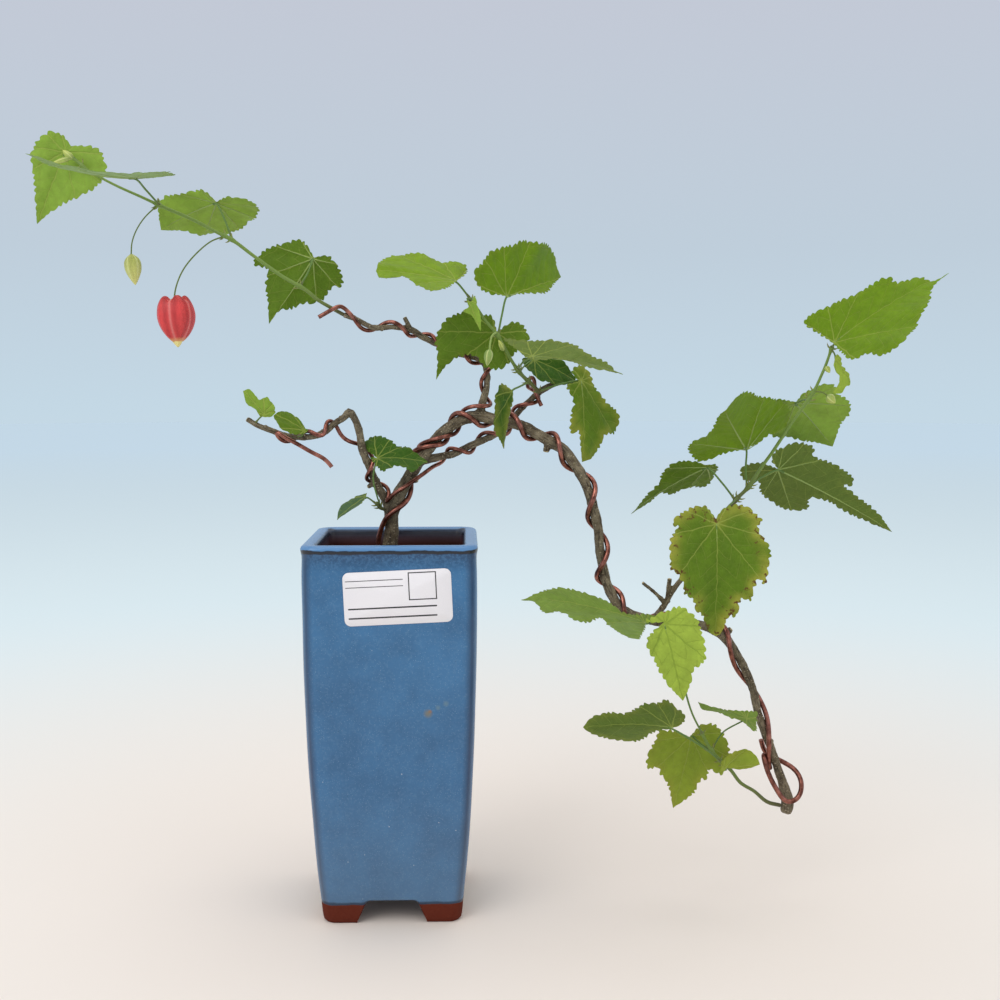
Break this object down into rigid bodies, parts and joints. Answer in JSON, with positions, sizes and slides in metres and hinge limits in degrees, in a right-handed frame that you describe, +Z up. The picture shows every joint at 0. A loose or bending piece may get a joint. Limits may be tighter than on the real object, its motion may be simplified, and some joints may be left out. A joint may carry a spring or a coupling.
{
  "type": "bonsai tree",
  "caption": "Flowering maple bonsai wired into a cascade, with toothed green leaves and a red hanging calyx, in a tall square blue-glazed pot with corner feet.",
  "frame": {"origin": "bottom centre of the bounding box of pot and plant, on the surface that the pot's feet stand on; the pot's upright axis is 44 mm towards -X and 10 mm towards +Y from it", "axes": "+X along the pot's front, towards the cascade's low end; +Y from the pot's front to its back; +Z up"},
  "size_m": [0.426, 0.102, 0.3729],
  "materials": {
    "glaze": "gloss, mid blue with a fine pale speckle over brown clay",
    "soil": "rough bark and peat mix with roots",
    "label": "smooth white coated paper",
    "bark": "rough grey-brown bark",
    "copper_wire": "satin, copper-coloured anodised",
    "green_shoot": "smooth green stem",
    "leaf": "matte leaf with raised veins",
    "calyx": "matte red with paler ribs",
    "bud": "matte yellow-green"
  },
  "bodies": {
    "root": {"pot": "glaze", "soil": "soil", "label": "label", "trunk": "bark", "wire_main": "copper_wire", "wire_pair": "copper_wire", "wire_upper": "copper_wire", "shoot_left": "green_shoot", "shoot_centre": "green_shoot", "shoot_right": "green_shoot", "shoot_lower": "green_shoot", "sprout": "green_shoot", "lantern": "calyx", "bud_yellow": "bud", "bud_centre": "bud", "leaf_left_1": "leaf", "leaf_left_2": "leaf", "leaf_left_3": "leaf", "leaf_left_4": "leaf", "leaf_centre_1": "leaf", "leaf_centre_2": "leaf", "leaf_centre_3": "leaf", "leaf_centre_4": "leaf", "leaf_centre_5": "leaf", "leaf_centre_6": "leaf", "leaf_centre_7": "leaf", "leaf_centre_young": "leaf", "leaf_inner_1": "leaf", "leaf_inner_2": "leaf", "leaf_inner_3": "leaf", "leaf_inner_4": "leaf", "leaf_right_1": "leaf", "leaf_right_2": "leaf", "leaf_right_3": "leaf", "leaf_right_4": "leaf", "leaf_right_5": "leaf", "leaf_right_6": "leaf", "leaf_right_young": "leaf", "leaf_low_1": "leaf", "leaf_low_2": "leaf", "leaf_low_3": "leaf", "leaf_low_4": "leaf", "leaf_low_5": "leaf", "leaf_low_6": "leaf"}
  },
  "joints": []
}
